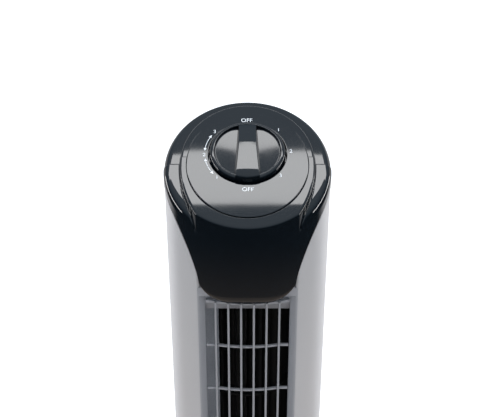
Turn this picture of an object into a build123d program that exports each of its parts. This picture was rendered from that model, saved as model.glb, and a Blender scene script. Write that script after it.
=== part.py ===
"""Tower fan: an oscillating column with a cross-flow impeller on a round pedestal base.

Frame: origin at the centre of the base on the floor, +Z up, the air outlet faces -Y.
Units are millimetres and degrees.
"""
import os
from math import cos, degrees, pi, radians, sin, sqrt, tan

from build123d import *

os.makedirs("parts", exist_ok=True)

# ---------------------------------------------------------------- driving sizes
overall_height = 740.0  # floor to the rear rim of the crown
column_radius = 70.0  # outside of the silver housings
column_bottom = 64.0  # underside of the column
wall = 2.4  # moulded housings and covers
gap = 0.3  # parting gap between separate mouldings
running = 0.05  # radial clearance of a shaft in its bore
cover_proud = 0.6  # how far the top cover stands outside the housing

top_tilt = 18.0  # forward slope of the control panel
crown_radius = 56.5  # rear half of the raised crown, in plan
crown_reach = 80.0  # front half axis of the crown, in plan
crown_shift = 3.0  # crown's centre in front of the column axis
crown_step = 7.0  # crown above the shoulder
crown_setback = 0.4  # front of the crown lies this much inside the shoulder
crown_round = 2.0  # rounding of the crown's edge
shoulder_round = 6.0  # rounding of the shoulder's outer edge
cover_inset = 0.5  # rear top cover lies this much inside the front one
cover_drop = 43.0  # side and rear edge of the top cover below the crown's rear rim
chin_corner_x = 40.5  # where the front cover meets the grille recess
chin_corner_drop = 109.0
chin_drop = 118.0  # lowest point of the front cover below the rear rim
hood_depth = 22.0  # how far the cover's blank reaches below the chin

panel_half_width = 50.6
panel_half_length = 53.2
panel_shift = 7.0  # panel centre in front of the column axis
panel_proud = 0.6
flange_thickness = 1.6  # rim of the panel caught under the covers
knob_offset = 3.3  # knob centre behind the column axis, along the slope
well_clearance = 1.1  # round the knob's skirt
well_depth = 8.0
knob_radius = 31.8  # skirt
knob_rim_height = 5.0  # rim above the panel
knob_lift = 1.5  # running gap under the skirt
knob_round = 3.1
knob_band = 4.2  # from the skirt to the edge of the pockets
pocket_depth = 7.5
grip_back = 7.2  # half widths of the grip bar
grip_middle = 8.0
grip_front = 10.2
grip_crown = 3.0  # rise of the grip bar above the rim
spindle_radius = 3.0
switch_size = 30.0
switch_depth = 20.0
bush_radius = 4.8
nut_height = 2.0

window_half = 42.7  # opening of the front housing
window_bottom = 147.0
outlet_half = 36.2  # opening of the outlet frame
outlet_bottom = 153.5
outlet_drop = 127.5  # upper edge of the outlet below the rear rim
frame_front = 55.3  # front plane of the outlet frame
frame_seat = 51.0  # plane of the outlet's edge
frame_back = 46.0  # rear plane of the outlet frame
frame_lip = 1.2  # flat border outside the bevel
strip_depth = 7.0  # sloping strips that close the outlet's ends
strip_drop = 17.1
grille_front = 59.5  # middle slats' front edge
grille_arc = 130.0  # bow of the grille in plan
slat_count = 6
slat_pitch = 10.9
slat_thickness = 1.8
rib_count = 8
rib_height = 1.8
rib_setback = 2.0
grille_rail = 5.5  # end rails of the grille

plate_thickness = 4.0
lower_plate_z = 146.0
upper_plate_drop = 144.0
duct_wall = 2.0
impeller_y = 8.0  # impeller axis behind the column axis
impeller_radius = 40.0
impeller_foot_room = 4.0  # above the lower plate
impeller_head_room = 6.0  # below the upper plate
blade_count = 32
blade_inner = 31.0
blade_thickness = 1.2
disc_thickness = 2.0
ring_count = 3
stub_radius = 3.0

motor_radius = 38.0  # stator
motor_bottom = 106.0
motor_stack = 22.0
motor_skin = 2.5
rotor_radius = 20.0
air_gap = 0.3
shaft_radius = 4.0
damper_circle = 30.0
damper_count = 3

inlet_angle = 52.0  # half angle of the rear inlet window
inlet_bottom = 160.0
inlet_head_room = 8.0
inlet_pitch = 8.0
inlet_rib = 2.2
inlet_bar = 2.6
inlet_bays = 5
inlet_inset = 0.6

handle_half = 42.0
handle_drop = 98.0
handle_height = 28.0
handle_floor = 46.0  # depth plane of the carry recess
handle_wall = 2.0

base_radius = 115.0
base_wall = 3.0
foot_height = 3.0
rim_height = 16.0
collar_radius = 60.0
collar_top = 62.0
deck_z = 52.0
deck_thickness = 4.0
shelf_inner = 50.0
plate_gauge = 3.0
weight_outer = 92.0
weight_inner = 40.0
weight_gauge = 4.0
hub_radius = 20.0
hub_bore = 15.0
washer_inner = 22.0
washer_outer = 29.5
washer_gauge = 2.0
retainer_radius = 28.0
gear_module = 1.5
gear_teeth = 48
pinion_teeth = 12
pressure_angle = 25.0
gear_face = 4.0
pinion_face = 5.0
tooth_clearance = 0.3
cord_bore = 3.2
cord_radius = 3.0
cord_z = 9.8
bush_length = 10.0

screw_radius = 1.6
screw_head = 3.2
head_height = 2.0
boss_radius = 4.0
lower_screw = (54.0, 105.0)
upper_screw_x = 56.0
upper_screw_drop = 106.0
screw_seat_y = 20.0
screw_tip_y = -12.0

# ------------------------------------------------------------- derived places
slope = radians(top_tilt)
crown_z = overall_height - (crown_radius - crown_shift) * tan(slope)
slope_normal = (0, -sin(slope), cos(slope))
crown_plane = Plane(origin=(0, 0, crown_z), x_dir=(1, 0, 0), z_dir=slope_normal)
knob_centre = (0, knob_offset * cos(slope), crown_z + knob_offset * sin(slope))
knob_plane = Plane(origin=knob_centre, x_dir=(1, 0, 0), z_dir=slope_normal)
cover_radius = column_radius + cover_proud
inner_radius = column_radius - wall
plate_radius = inner_radius - gap
cover_edge_z = overall_height - cover_drop
chin_corner_z = overall_height - chin_corner_drop
chin_z = overall_height - chin_drop
outlet_top = overall_height - outlet_drop
upper_plate_z = overall_height - upper_plate_drop
impeller_bottom = lower_plate_z + plate_thickness + impeller_foot_room
impeller_top = upper_plate_z - impeller_head_room
inlet_top = upper_plate_z - inlet_head_room
handle_bottom = overall_height - handle_drop
screw_points = (lower_screw, (upper_screw_x, overall_height - upper_screw_drop))
well_radius = knob_radius + well_clearance
panel_flange = crown_radius - cover_inset - wall - 2 * gap - panel_half_width
pocket_radius = knob_radius - knob_band
hood_floor = chin_z - hood_depth
tall = overall_height - hood_floor + 40
big = 2 * base_radius
impeller_axis = (0, impeller_y)
grille_centre = (0, grille_arc - grille_front)
quarter_turn = Location((0, 0, 0), (0, 0, 90))
lower_plate_top = lower_plate_z + plate_thickness
front_cut = Plane.XZ
rear_cut = Plane.XZ.offset(-gap)


def tube(radius, bore, bottom, height, centre=(0, 0)):
    """Upright ring or, with no bore, a disc."""
    with BuildPart() as ring:
        with BuildSketch(Plane.XY.offset(bottom)):
            with Locations(Location((centre[0], centre[1], 0), (0, 0, 90))):
                Circle(radius)
                if bore:
                    Circle(bore, mode=Mode.SUBTRACT)
        extrude(amount=height)
    return ring.part


def finish(piece, label):
    """Labels a finished piece and writes its STEP file."""
    piece.part.label = label
    export_step(piece.part, f"parts/{label}.step")


# ------------------------------------------------------------------ top covers
def hood(inset):
    """Space inside the top covers' skin, drawn in by inset: a round shoulder and a raised crown."""
    radius = cover_radius - inset
    with BuildPart() as shape:
        with BuildSketch(Plane.XY.offset(hood_floor)):
            with Locations(quarter_turn):
                Circle(radius)
        extrude(amount=tall)
        split(bisect_by=crown_plane.offset(-crown_step - inset), keep=Keep.BOTTOM)
        rim = shape.faces().sort_by(Axis.Z)[-1].edges()
        fillet(rim, max(shoulder_round - inset, 1.0))
    with BuildPart() as crown:
        with BuildSketch(Plane.XY.offset(hood_floor)):
            with Locations((0, -crown_shift)):
                Ellipse(crown_radius - inset, crown_reach - inset)
                Rectangle(big, big, align=(Align.CENTER, Align.MIN), mode=Mode.SUBTRACT)
            with Locations(Location((0, -crown_shift, 0), (0, 0, 90))):
                Circle(crown_radius - inset)
            with Locations(quarter_turn):
                Circle(radius - crown_setback, mode=Mode.INTERSECT)
        extrude(amount=tall)
        split(bisect_by=crown_plane.offset(-inset), keep=Keep.BOTTOM)
        rim = crown.faces().filter_by(GeomType.PLANE).sort_by(Axis.Z)[-1].edges()
        fillet(rim, crown_round)
    return shape.part + crown.part


def shield(grow=0.0, lift=0.0):
    """Prism through the front cover's outline: wide at the top, narrowing to the chin over the grille."""
    with BuildPart() as prism:
        with BuildSketch(Plane.XZ):
            with BuildLine():
                points = (
                    (cover_radius + 1.2, cover_edge_z),
                    (62.0, cover_edge_z - 11.0),
                    (50.0, cover_edge_z - 33.0),
                    (chin_corner_x + 3.0, chin_corner_z + 15.0),
                    (chin_corner_x, chin_corner_z),
                )
                right = [(x + grow, z + lift) for x, z in points]
                left = [(-x, z) for x, z in reversed(right)]
                Spline(*right)
                ThreePointArc(right[-1], (0, chin_z - grow + lift), left[0])
                Spline(*left)
                top = overall_height + 20
                Polyline(left[-1], (left[-1][0], top), (right[0][0], top), right[0])
            make_face()
        extrude(amount=big)
    return prism.part


def panel_opening():
    """Upright oval prism through both covers, where the control panel drops in."""
    with BuildPart() as prism:
        with BuildSketch(Plane.XY.offset(cover_edge_z - 12.0)):
            with Locations((0, -panel_shift)):
                Ellipse(panel_half_width + gap, panel_half_length + gap)
        extrude(amount=tall)
    return prism.part


def chin_lip():
    """Edge that turns the front cover in under the chin, towards the outlet frame."""
    with BuildPart() as lip:
        with BuildSketch(Plane.XY.offset(hood_floor)):
            Circle(cover_radius)
            with Locations((0, -frame_front - gap)):
                Rectangle(big, big, align=(Align.CENTER, Align.MIN), mode=Mode.SUBTRACT)
            Rectangle(2 * chin_corner_x, big, mode=Mode.INTERSECT)
        extrude(amount=chin_corner_z - hood_floor + wall)
        add(shield(), mode=Mode.INTERSECT)
        add(shield(lift=wall), mode=Mode.SUBTRACT)
    return lip.part


with BuildPart() as front_top_cover:
    add(hood(0.0))
    split(bisect_by=front_cut, keep=Keep.TOP)
    add(hood(wall), mode=Mode.SUBTRACT)
    add(shield(), mode=Mode.INTERSECT)
    add(panel_opening(), mode=Mode.SUBTRACT)
    add(chin_lip())
finish(front_top_cover, "front_top_cover")

with BuildPart() as rear_top_cover:
    add(hood(cover_inset))
    split(bisect_by=front_cut, keep=Keep.BOTTOM)
    split(bisect_by=Plane.XY.offset(cover_edge_z), keep=Keep.TOP)
    add(hood(cover_inset + wall), mode=Mode.SUBTRACT)
    add(panel_opening(), mode=Mode.SUBTRACT)
finish(rear_top_cover, "rear_top_cover")

# --------------------------------------------------- control panel, knob, switch
panel_underside = -wall - cover_inset - gap - flange_thickness
well_floor = -well_depth - wall
knob_bottom = -well_depth + knob_lift
spindle_bottom = well_floor - switch_depth + 6.0
spindle_top = knob_bottom + 8.0
bush_top = well_floor + wall + nut_height + 0.4


def panel_disc(grow, top, bottom):
    """Slice of an upright oval cylinder between two planes parallel to the crown."""
    with BuildPart() as disc:
        with BuildSketch(Plane.XY.offset(hood_floor)):
            with Locations((0, -panel_shift)):
                Ellipse(panel_half_width + grow, panel_half_length + grow)
        extrude(amount=tall)
        split(bisect_by=crown_plane.offset(top), keep=Keep.BOTTOM)
        split(bisect_by=crown_plane.offset(bottom), keep=Keep.TOP)
    return disc.part


with BuildPart() as control_panel:
    add(panel_disc(0.0, panel_proud, panel_underside))
    add(panel_disc(panel_flange, panel_underside + flange_thickness, panel_underside))
    with BuildSketch(knob_plane.offset(well_floor)):
        Circle(well_radius + wall)
    extrude(amount=well_depth)
    with BuildSketch(knob_plane.offset(-well_depth)):
        Circle(well_radius)
    extrude(amount=well_depth + 2 * panel_proud, mode=Mode.SUBTRACT)
    with BuildSketch(knob_plane.offset(well_floor)):
        Circle(bush_radius + running)
    extrude(amount=well_depth, mode=Mode.SUBTRACT)
finish(control_panel, "control_panel")


def grip_outline(side):
    """Region outside the flared side of the grip bar, on the knob's plane."""
    far = side * 2 * knob_radius
    with BuildSketch(mode=Mode.PRIVATE) as region:
        with BuildLine():
            start = (side * grip_front, -knob_radius)
            end = (side * grip_back, knob_radius)
            ThreePointArc(start, (side * grip_middle, 0), end)
            Polyline(end, (far, end[1]), (far, start[1]), start)
        make_face()
    return region.sketch


def knob_pocket(side):
    """Dished half-moon beside the grip bar, deepest against the bar."""
    with BuildPart() as pocket:
        with BuildSketch(knob_plane.offset(knob_rim_height - pocket_depth)):
            add(grip_outline(side))
            Circle(pocket_radius, mode=Mode.INTERSECT)
        extrude(amount=3 * pocket_depth)
        pocket_floor = Plane(
            origin=knob_plane.from_local_coords(
                (side * pocket_radius, 0, knob_rim_height - 1.0)
            ),
            x_dir=knob_plane.y_dir,
            z_dir=knob_plane.z_dir * (pocket_radius - grip_middle)
            - knob_plane.x_dir * side * (pocket_depth - 1.0),
        )
        split(bisect_by=pocket_floor, keep=Keep.TOP)
    return pocket.part


with BuildPart() as grip_bar:
    with BuildSketch(knob_plane.offset(knob_rim_height - 1.0)):
        Circle(knob_radius - knob_round)
        add(grip_outline(1), mode=Mode.SUBTRACT)
        add(grip_outline(-1), mode=Mode.SUBTRACT)
    extrude(amount=1.0 + 2 * grip_crown)
    with BuildSketch(Plane(origin=knob_plane.origin, x_dir=knob_plane.y_dir, z_dir=(1, 0, 0))):
        with BuildLine():
            reach = knob_radius - knob_round
            ends = knob_rim_height - 0.1
            ThreePointArc((-reach, ends), (0, knob_rim_height + grip_crown), (reach, ends))
            Polyline((reach, ends), (reach, -5), (-reach, -5), (-reach, ends))
        make_face()
    extrude(amount=knob_radius, both=True, mode=Mode.INTERSECT)

with BuildPart() as knob:
    with BuildSketch(knob_plane.offset(knob_bottom)):
        Circle(knob_radius)
    extrude(amount=knob_rim_height - knob_bottom)
    fillet(knob.edges().group_by(Axis(knob_centre, slope_normal))[-1], knob_round)
    add(knob_pocket(1), mode=Mode.SUBTRACT)
    add(knob_pocket(-1), mode=Mode.SUBTRACT)
    add(grip_bar.part)
    with BuildSketch(knob_plane.offset(knob_bottom)):
        Circle(8.8)
    extrude(amount=nut_height + 0.6, mode=Mode.SUBTRACT)
    with BuildSketch(knob_plane.offset(knob_bottom)):
        Circle(spindle_radius + running)
    extrude(amount=spindle_top - knob_bottom + 0.3, mode=Mode.SUBTRACT)
finish(knob, "knob")

with BuildPart() as rotary_switch:
    with BuildSketch(knob_plane.offset(well_floor)):
        RectangleRounded(switch_size, switch_size, 3)
    extrude(amount=-switch_depth)
    with BuildSketch(knob_plane.offset(well_floor)):
        Circle(bush_radius)
    extrude(amount=bush_top - well_floor)
    with BuildSketch(knob_plane.offset(spindle_bottom - 0.3)):
        Circle(spindle_radius + running)
    extrude(amount=bush_top - spindle_bottom + 1.0, mode=Mode.SUBTRACT)
finish(rotary_switch, "rotary_switch")

with BuildPart() as switch_nut:
    with BuildSketch(knob_plane.offset(-well_depth)):
        RegularPolygon(7.6, 6)
        Circle(bush_radius + running, mode=Mode.SUBTRACT)
    extrude(amount=nut_height)
finish(switch_nut, "switch_nut")

with BuildPart() as switch_spindle:
    with BuildSketch(knob_plane.offset(spindle_bottom)):
        Circle(spindle_radius)
    extrude(amount=spindle_top - spindle_bottom)
finish(switch_spindle, "switch_spindle")

with BuildPart() as switch_terminals:
    with BuildSketch(knob_plane.offset(well_floor - switch_depth)):
        with GridLocations(8.0, 14.0, 3, 2):
            Rectangle(4.8, 0.8)
    extrude(amount=-8.0)
finish(switch_terminals, "switch_terminals")


# ---------------------------------------------------------------- column housings
def screw_boss(front):
    """Four posts that join the two housings, from the parting plane to the wall."""
    start = front_cut if front else rear_cut
    with BuildPart() as posts:
        with BuildSketch(start):
            for x, z in screw_points:
                with Locations((x, z), (-x, z)):
                    Circle(boss_radius)
        extrude(amount=column_radius if front else -column_radius)
        add(tube(column_radius - wall / 2, 0, column_bottom, overall_height), mode=Mode.INTERSECT)
    return posts.part


def screw_holes(radius, start, end):
    """Four holes along Y through the posts, from y = start forward to y = end."""
    with BuildPart() as holes:
        with BuildSketch(Plane.XZ.offset(-start)):
            for x, z in screw_points:
                with Locations((x, z), (-x, z)):
                    Circle(radius)
        extrude(amount=start - end)
    return holes.part


with BuildPart() as front_housing:
    add(tube(column_radius, inner_radius, column_bottom, overall_height - column_bottom))
    split(bisect_by=front_cut, keep=Keep.TOP)
    with BuildSketch(front_cut):
        with Locations((0, window_bottom)):
            Rectangle(2 * window_half, overall_height, align=(Align.CENTER, Align.MIN))
    extrude(amount=big, mode=Mode.SUBTRACT)
    add(screw_boss(front=True))
    add(shield(grow=gap), mode=Mode.SUBTRACT)
    add(screw_holes(screw_radius + running, 1.0, screw_tip_y - 1.0), mode=Mode.SUBTRACT)
finish(front_housing, "front_housing")


def rear_window(grow=0.0):
    """Wedge through the rear wall, where the inlet grille sits."""
    span = radians(inlet_angle)
    reach = 2 * column_radius
    corner = (reach * sin(span), reach * cos(span) - grow)
    with BuildPart() as wedge:
        with BuildSketch(Plane.XY.offset(inlet_bottom - grow)):
            with BuildLine():
                Polyline((0, -grow), corner, (-corner[0], corner[1]), close=True)
            make_face()
        extrude(amount=inlet_top - inlet_bottom + 2 * grow)
    return wedge.part


def handle_block(grow):
    """Block of the carry recess, grown by its wall for the cup around it."""
    with BuildPart() as block:
        with BuildSketch(Plane.XZ.offset(-handle_floor + grow)):
            with Locations((0, handle_bottom + handle_height / 2)):
                RectangleRounded(
                    2 * (handle_half + grow), handle_height + 2 * grow, 8 + grow
                )
        extrude(amount=-column_radius)
    return block.part


with BuildPart() as handle_cup:
    add(handle_block(handle_wall))
    add(tube(column_radius - wall / 2, 0, column_bottom, overall_height), mode=Mode.INTERSECT)

with BuildPart() as rear_housing:
    add(tube(column_radius, inner_radius, column_bottom, cover_edge_z - gap - column_bottom))
    split(bisect_by=rear_cut, keep=Keep.BOTTOM)
    add(rear_window(), mode=Mode.SUBTRACT)
    add(screw_boss(front=False))
    add(handle_cup.part)
    add(handle_block(0.0), mode=Mode.SUBTRACT)
    add(screw_holes(screw_radius + 0.3, screw_seat_y + 1.0, -1.0), mode=Mode.SUBTRACT)
    add(screw_holes(screw_head + 0.3, big, screw_seat_y), mode=Mode.SUBTRACT)
finish(rear_housing, "rear_housing")

with BuildPart() as housing_screws:
    add(screw_holes(screw_head, screw_seat_y + head_height, screw_seat_y))
    add(screw_holes(screw_radius, screw_seat_y, screw_tip_y))
finish(housing_screws, "housing_screws")

# ------------------------------------------------------------------ rear inlet
hoop_count = int((inlet_top - inlet_bottom) / inlet_pitch) - 1
hoop_first = (inlet_bottom + inlet_top - (hoop_count - 1) * inlet_pitch - inlet_rib) / 2
hoop_levels = [hoop_first + i * inlet_pitch for i in range(hoop_count)]
bay_edge = inlet_angle - degrees(4.0 / column_radius)
bay_angle = 2 * bay_edge / inlet_bays
bar_angle = degrees(inlet_bar / column_radius)
grille_border = 4.0


def inlet_section(level_planes, half_angle, height, centre_angle=90.0):
    """Arc bands of the inlet grille, one on each plane."""
    with BuildPart() as bands:
        with BuildSketch(*level_planes):
            with BuildLine():
                outer = column_radius - inlet_inset
                start = centre_angle - half_angle
                CenterArc((0, 0), outer, start, 2 * half_angle)
                CenterArc((0, 0), inner_radius, start, 2 * half_angle)
                for angle in (radians(start), radians(start + 2 * half_angle)):
                    near = (inner_radius * cos(angle), inner_radius * sin(angle))
                    Line(near, (outer * cos(angle), outer * sin(angle)))
            make_face()
        extrude(amount=height)
    return bands.part


frame_angle = inlet_angle - degrees(gap / column_radius)
inlet_height = inlet_top - inlet_bottom - 2 * gap
end_levels = [inlet_bottom + gap, inlet_top - gap - grille_border]
with BuildPart() as inlet_grille:
    add(inlet_section([Plane.XY.offset(z) for z in end_levels], frame_angle, grille_border))
    for i in range(inlet_bays + 1):
        bar = 90 - bay_edge + i * bay_angle
        add(inlet_section([Plane.XY.offset(inlet_bottom + gap)], bar_angle / 2, inlet_height, bar))
    add(inlet_section([Plane.XY.offset(z) for z in hoop_levels], bay_edge, inlet_rib))
finish(inlet_grille, "inlet_grille")

# ------------------------------------------------------------------ air outlet
recess_bottom = window_bottom + gap + frame_lip
recess_top = outlet_top + grille_rail + gap
frame_top = recess_top + frame_lip + 8.0

with BuildPart() as outlet_frame:
    with BuildSketch(Plane.XZ.offset(frame_back)):
        with Locations((0, window_bottom + gap)):
            width = 2 * (window_half - gap)
            Rectangle(width, frame_top - window_bottom - gap, align=(Align.CENTER, Align.MIN))
    extrude(amount=frame_front - frame_back)
    with BuildSketch(Plane.XZ.offset(frame_back)):
        with Locations((0, window_bottom + gap)):
            Rectangle(big, frame_top - window_bottom - gap, align=(Align.CENTER, Align.MIN))
    extrude(amount=frame_seat - frame_back)
    cover_clearance = cover_radius - wall - gap
    add(tube(column_radius - gap, 0, column_bottom, overall_height), mode=Mode.INTERSECT)
    with BuildSketch(Plane.XY.offset(window_bottom)):
        Circle(column_radius)
        Circle(plate_radius, mode=Mode.SUBTRACT)
        Rectangle(2 * (window_half - gap), big, mode=Mode.SUBTRACT)
    extrude(amount=overall_height, mode=Mode.SUBTRACT)
    add(tube(big, cover_clearance, chin_corner_z - 4.0, big), mode=Mode.SUBTRACT)
    with BuildSketch(Plane.XZ.offset(frame_front)):
        with Locations((0, recess_bottom)):
            width = 2 * (window_half - gap - frame_lip)
            Rectangle(width, recess_top - recess_bottom, align=(Align.CENTER, Align.MIN))
    with BuildSketch(Plane.XZ.offset(frame_seat)):
        with Locations((0, recess_bottom)):
            Rectangle(2 * outlet_half, recess_top - recess_bottom, align=(Align.CENTER, Align.MIN))
    loft(mode=Mode.SUBTRACT)
    with BuildSketch(Plane.XZ.offset(frame_seat)):
        with Locations((0, outlet_bottom)):
            Rectangle(2 * outlet_half, outlet_top - outlet_bottom, align=(Align.CENTER, Align.MIN))
    extrude(amount=frame_back - frame_seat, mode=Mode.SUBTRACT)
    with BuildSketch(Plane.YZ.offset(-outlet_half)):
        for edge, drop in ((outlet_top, -strip_drop), (outlet_bottom, strip_drop / 3)):
            with BuildLine():
                front = -frame_seat
                inner = (front + strip_depth, edge + drop)
                back = (front + strip_depth, edge + drop / 2)
                Polyline((front, edge), inner, back, (front + 2.5, edge), close=True)
            make_face()
    extrude(amount=2 * outlet_half)
finish(outlet_frame, "outlet_frame")


def grille_band(front_offset, back_plane):
    """Sketch of the bowed strip between the grille's front arc and a flat back plane."""
    with BuildSketch(mode=Mode.PRIVATE) as band:
        with Locations(grille_centre):
            Circle(grille_arc - front_offset)
        with Locations((0, -back_plane)):
            Rectangle(2 * grille_half, big, align=(Align.CENTER, Align.MAX), mode=Mode.INTERSECT)
    return band.sketch


grille_half = outlet_half - gap
grille_back = frame_seat + gap
rib_back = grille_back - 1.5
rib_pitch = (outlet_top - outlet_bottom) / (rib_count + 1)
rib_levels = [outlet_top - (i + 1) * rib_pitch for i in range(rib_count)]
rail_levels = [recess_bottom + gap, outlet_top]
rail_height = outlet_bottom - recess_bottom - gap

with BuildPart() as outlet_grille:
    with BuildSketch(*[Plane.XY.offset(z) for z in rail_levels]):
        add(grille_band(0.0, grille_back))
    extrude(amount=rail_height)
    with BuildSketch(*[Plane.XY.offset(z - rib_height / 2) for z in rib_levels]):
        add(grille_band(rib_setback, rib_back))
    extrude(amount=rib_height)
    for i in range(slat_count):
        slat_x = (i - (slat_count - 1) / 2) * slat_pitch
        with BuildSketch(Plane.XY.offset(outlet_bottom - 1.0)):
            add(grille_band(0.0, grille_back))
            with Locations((slat_x, 0)):
                Rectangle(slat_thickness, big, mode=Mode.INTERSECT)
        extrude(amount=outlet_top - outlet_bottom + 2.0)
finish(outlet_grille, "outlet_grille")

# ------------------------------------------------------------- plates and air duct
harness_place = (-46.0, -38.0)
duct_height = upper_plate_z - lower_plate_top
shaft_hole = shaft_radius + 2.0
bearing_radius = 7.0

with BuildPart() as lower_plate:
    add(tube(plate_radius, 0, lower_plate_z, plate_thickness))
    split(bisect_by=Plane.XZ.offset(frame_back - gap), keep=Keep.BOTTOM)
    add(tube(shaft_hole, 0, lower_plate_z, plate_thickness, impeller_axis), mode=Mode.SUBTRACT)
    add(tube(cord_radius + gap, 0, lower_plate_z, plate_thickness, harness_place), mode=Mode.SUBTRACT)
    with BuildSketch(Plane.XY.offset(lower_plate_z)):
        with Locations(impeller_axis):
            with PolarLocations(damper_circle, damper_count, start_angle=30):
                Circle(screw_radius + gap)
    extrude(amount=plate_thickness, mode=Mode.SUBTRACT)
finish(lower_plate, "lower_plate")

upper_plate_front = frame_seat - strip_depth - gap
seat = bearing_radius + 1.5
with BuildPart() as upper_plate:
    add(tube(plate_radius, 0, upper_plate_z, plate_thickness))
    split(bisect_by=Plane.XZ.offset(upper_plate_front), keep=Keep.BOTTOM)
    add(tube(seat, 0, upper_plate_z, plate_thickness, impeller_axis), mode=Mode.SUBTRACT)
    add(tube(cord_radius + gap, 0, upper_plate_z, plate_thickness, harness_place), mode=Mode.SUBTRACT)
finish(upper_plate, "upper_plate")

with BuildPart() as bearing_boot:
    add(tube(seat, bearing_radius, upper_plate_z, plate_thickness, impeller_axis))
    add(tube(seat + 3.0, bearing_radius, upper_plate_z + plate_thickness, 2.0, impeller_axis))
finish(bearing_boot, "bearing_boot")

with BuildPart() as upper_bearing:
    height = plate_thickness + 4.0
    add(tube(bearing_radius, stub_radius + running, upper_plate_z, height, impeller_axis))
finish(upper_bearing, "upper_bearing")

duct_end = (outlet_half + 1.0, -frame_back + gap + 1.0)
scroll_lip = 37.0  # bearing of the scroll wall's rear edge


def scroll_point(bearing, radius):
    """Point at a bearing and a distance from the impeller's axis."""
    turn = radians(bearing)
    return (radius * cos(turn), impeller_y + radius * sin(turn))


with BuildPart() as scroll_wall:
    with BuildSketch(Plane.XY.offset(lower_plate_top)):
        with BuildLine():
            side_point = scroll_point(-20.0, 53.5)
            rear_point = scroll_point(scroll_lip, 45.0)
            ThreePointArc(duct_end, scroll_point(-38.0, 58.5), side_point)
            ThreePointArc(side_point, scroll_point(10.0, 48.5), rear_point)
            lip = radians(scroll_lip)
            lip_reach = plate_radius - 1.0
            Line(rear_point, (lip_reach * cos(lip), lip_reach * sin(lip)))
            offset(amount=duct_wall, side=Side.RIGHT)
        make_face()
    extrude(amount=duct_height)
finish(scroll_wall, "scroll_wall")

tongue = (-25.5, -30.0)
with BuildPart() as vortex_wall:
    with BuildSketch(Plane.XY.offset(lower_plate_top)):
        with BuildLine():
            route = Polyline((-duct_end[0], duct_end[1]), tongue, (-48.0, -21.0), (-66.0, -18.0))
            offset(amount=duct_wall, side=Side.LEFT)
        make_face()
        Circle(plate_radius, mode=Mode.INTERSECT)
    extrude(amount=duct_height)
finish(vortex_wall, "vortex_wall")

# ------------------------------------------------------------------- impeller
blade_tip = impeller_radius - 0.4
ring_pitch = (impeller_top - impeller_bottom) / (ring_count + 1)
ring_levels = [impeller_bottom + (i + 1) * ring_pitch - disc_thickness / 2 for i in range(ring_count)]
end_discs = [impeller_bottom, impeller_top - disc_thickness]
hub_length = 16.0
shaft_top = impeller_bottom + hub_length - 1.0

with BuildSketch() as blade:
    with BuildLine():
        middle = (blade_inner + blade_tip) / 2
        ThreePointArc((blade_inner, 0), (middle, 1.5), (blade_tip - 0.4, 5.4))
        offset(amount=blade_thickness, side=Side.LEFT)
    make_face()

with BuildPart() as impeller:
    with BuildSketch(Plane.XY.offset(impeller_bottom + disc_thickness / 2)):
        with Locations(impeller_axis):
            with PolarLocations(0, blade_count):
                add(blade.sketch)
    extrude(amount=impeller_top - impeller_bottom - disc_thickness)
    with BuildSketch(*[Plane.XY.offset(z) for z in ring_levels]):
        with Locations(impeller_axis):
            Circle(impeller_radius)
            Circle(blade_inner - 1.0, mode=Mode.SUBTRACT)
    extrude(amount=disc_thickness)
    with BuildSketch(*[Plane.XY.offset(z) for z in end_discs]):
        with Locations(impeller_axis):
            Circle(impeller_radius)
    extrude(amount=disc_thickness)
    add(tube(shaft_radius + 4.0, 0, impeller_bottom, hub_length, impeller_axis))
    add(tube(shaft_radius + running, 0, impeller_bottom, hub_length, impeller_axis), mode=Mode.SUBTRACT)
finish(impeller, "impeller")

with BuildPart() as impeller_stub:
    stub_top = upper_plate_z + plate_thickness + 5.0
    add(tube(stub_radius, 0, impeller_top, stub_top - impeller_top, impeller_axis))
    add(tube(stub_radius + 3.0, 0, impeller_top, 2.0, impeller_axis))
finish(impeller_stub, "impeller_stub")

# ---------------------------------------------------------------------- motor
stack_top = motor_bottom + motor_stack
winding_height = 6.0
cover_radius_out = motor_radius + motor_skin
winding_top = stack_top + winding_height
winding_bottom = motor_bottom - winding_height
cap_top = winding_top + 1.0
cap_bottom = winding_bottom - 1.0
stack_middle = (motor_bottom + stack_top) / 2
motor_bearing = 8.0
shaft_bottom = cap_bottom - motor_skin - 5.0

with BuildPart() as motor_stator:
    add(tube(motor_radius, rotor_radius + air_gap, motor_bottom, motor_stack, impeller_axis))
finish(motor_stator, "motor_stator")

with BuildPart() as motor_windings:
    add(tube(motor_radius - 4.0, rotor_radius + 4.0, winding_bottom, winding_height, impeller_axis))
    add(tube(motor_radius - 4.0, rotor_radius + 4.0, stack_top, winding_height, impeller_axis))
finish(motor_windings, "motor_windings")


def motor_cap(bottom, top, plate_bottom):
    """Cup over half of the stator, with a seat for the shaft's bearing."""
    with BuildPart() as cap:
        add(tube(cover_radius_out, motor_radius, bottom, top - bottom, impeller_axis))
        add(tube(cover_radius_out, motor_bearing, plate_bottom, motor_skin, impeller_axis))
    return cap.part


with BuildPart() as motor_top_cover:
    add(motor_cap(stack_middle + gap, cap_top, cap_top))
    with BuildSketch(Plane.XY.offset(cap_top)):
        with Locations(impeller_axis):
            with PolarLocations(damper_circle, damper_count, start_angle=30):
                Circle(screw_radius + running)
    extrude(amount=motor_skin, mode=Mode.SUBTRACT)
finish(motor_top_cover, "motor_top_cover")

with BuildPart() as motor_bottom_cover:
    add(motor_cap(cap_bottom, stack_middle, cap_bottom - motor_skin))
finish(motor_bottom_cover, "motor_bottom_cover")

with BuildPart() as motor_bearings:
    for level in (cap_top, cap_bottom - motor_skin):
        add(tube(motor_bearing, shaft_radius + running, level, motor_skin, impeller_axis))
finish(motor_bearings, "motor_bearings")

with BuildPart() as motor_rotor:
    add(tube(rotor_radius, shaft_radius, motor_bottom - 1.0, motor_stack + 2.0, impeller_axis))
finish(motor_rotor, "motor_rotor")

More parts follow.
